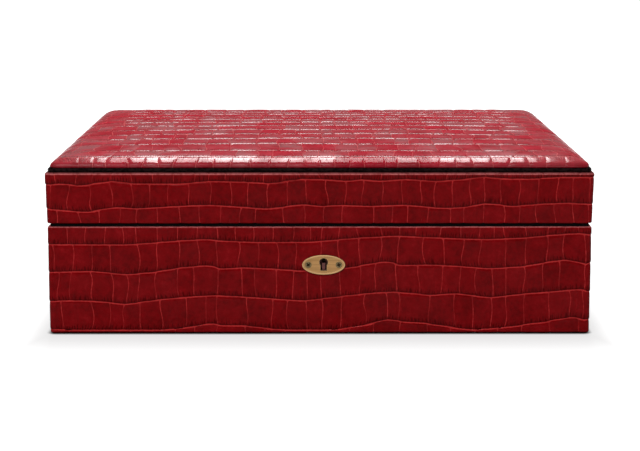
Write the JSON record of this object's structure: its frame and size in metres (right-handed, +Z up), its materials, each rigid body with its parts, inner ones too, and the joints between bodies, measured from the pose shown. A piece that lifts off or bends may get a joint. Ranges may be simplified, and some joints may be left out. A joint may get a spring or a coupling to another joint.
{
  "type": "humidor",
  "caption": "Hinged cedar-lined cigar box in embossed red leather with a padded lid, oval lock plate, lift-out tray, humidifier and dial hygrometer.",
  "frame": {"origin": "middle of the underside of the base felt, on the surface that the box stands on", "axes": "+X to the right seen from the front, +Y to the back, where the hinges are, +Z up; the front with its lock faces -Y"},
  "size_m": [0.3314, 0.2859, 0.1075],
  "materials": {
    "red_leather": "crocodile-embossed, waxed",
    "black_band": "satin black lacquer",
    "board": "raw fibreboard",
    "cedar": "raw planed cedar",
    "black_felt": "felt",
    "brass": "satin, lacquered",
    "lock_steel": "plain",
    "steel_plate": "plain",
    "foam": "open-cell foam",
    "water_foam": "open-cell water foam",
    "black_plastic": "moulded",
    "dial": "printed card",
    "needle": "matt black",
    "glass": "clear"
  },
  "bodies": {
    "case": {"base_felt": "black_felt", "base_board": "board", "body_front_board": "board", "body_back_board": "board", "body_left_board": "board", "body_right_board": "board", "body_leather": "red_leather", "floor_lining": "cedar", "front_lining": "cedar", "back_lining": "cedar", "left_lining": "cedar", "right_lining": "cedar", "rim_seal": "black_felt", "tray_cleats": "cedar", "lock_case": "lock_steel", "lock_cap": "lock_steel", "lock_screws": "brass", "escutcheon": "brass", "escutcheon_screws": "brass", "left_hinge_body_leaf": "brass", "right_hinge_body_leaf": "brass", "hinge_pins": "brass", "hinge_body_screws": "brass"},
    "bolt": {"lock_bolt": "lock_steel"},
    "lid": {"lid_front_board": "board", "lid_back_board": "board", "lid_left_board": "board", "lid_right_board": "board", "lid_top_board": "board", "lid_leather": "red_leather", "lid_band": "black_band", "pad_board": "board", "pad_foam": "foam", "pad_leather": "red_leather", "lid_top_lining": "cedar", "lid_front_lining": "cedar", "lid_back_lining": "cedar", "lid_left_lining": "cedar", "lid_right_lining": "cedar", "link_plate": "brass", "link_plate_screws": "brass", "left_hinge_lid_leaf": "brass", "right_hinge_lid_leaf": "brass", "hinge_lid_screws": "brass", "hygrometer_case": "brass", "hygrometer_dial": "dial", "hygrometer_glass": "glass", "magnet_plate": "steel_plate"},
    "needle": {"hygrometer_needle": "needle"},
    "humidifier": {"humidifier_case": "black_plastic", "humidifier_grille": "brass", "humidifier_foam": "water_foam", "humidifier_magnets": "steel_plate"},
    "tray": {"tray_front": "cedar", "tray_back": "cedar", "tray_left": "cedar", "tray_right": "cedar", "tray_partition": "cedar", "tray_slats": "cedar"},
    "divider": {"divider": "cedar"}
  },
  "joints": [
    {"name": "lid_hinge", "type": "hinge", "parent": "case", "child": "lid", "pos_m": [0, 0.1415, 0.0675], "axis": [-1, 0, 0], "range_deg": [0, 95]},
    {"name": "lock_bolt_slide", "type": "slide", "parent": "case", "child": "bolt", "axis": [1, 0, 0], "range_m": [0, 0.004]},
    {"name": "hygrometer_needle_turn", "type": "hinge", "parent": "lid", "child": "needle", "pos_m": [0.062, 0, 0.0909], "axis": [0, 0, 1], "range_deg": [-189, 81]},
    {"name": "humidifier_release", "type": "slide", "parent": "lid", "child": "humidifier", "axis": [0, 0, -1], "range_m": [0, 0.01]},
    {"name": "tray_lift", "type": "slide", "parent": "case", "child": "tray", "axis": [0, 0, 1], "range_m": [0, 0.016]},
    {"name": "divider_lift", "type": "slide", "parent": "case", "child": "divider", "axis": [0, 0, 1], "range_m": [0, 0.0035]}
  ]
}
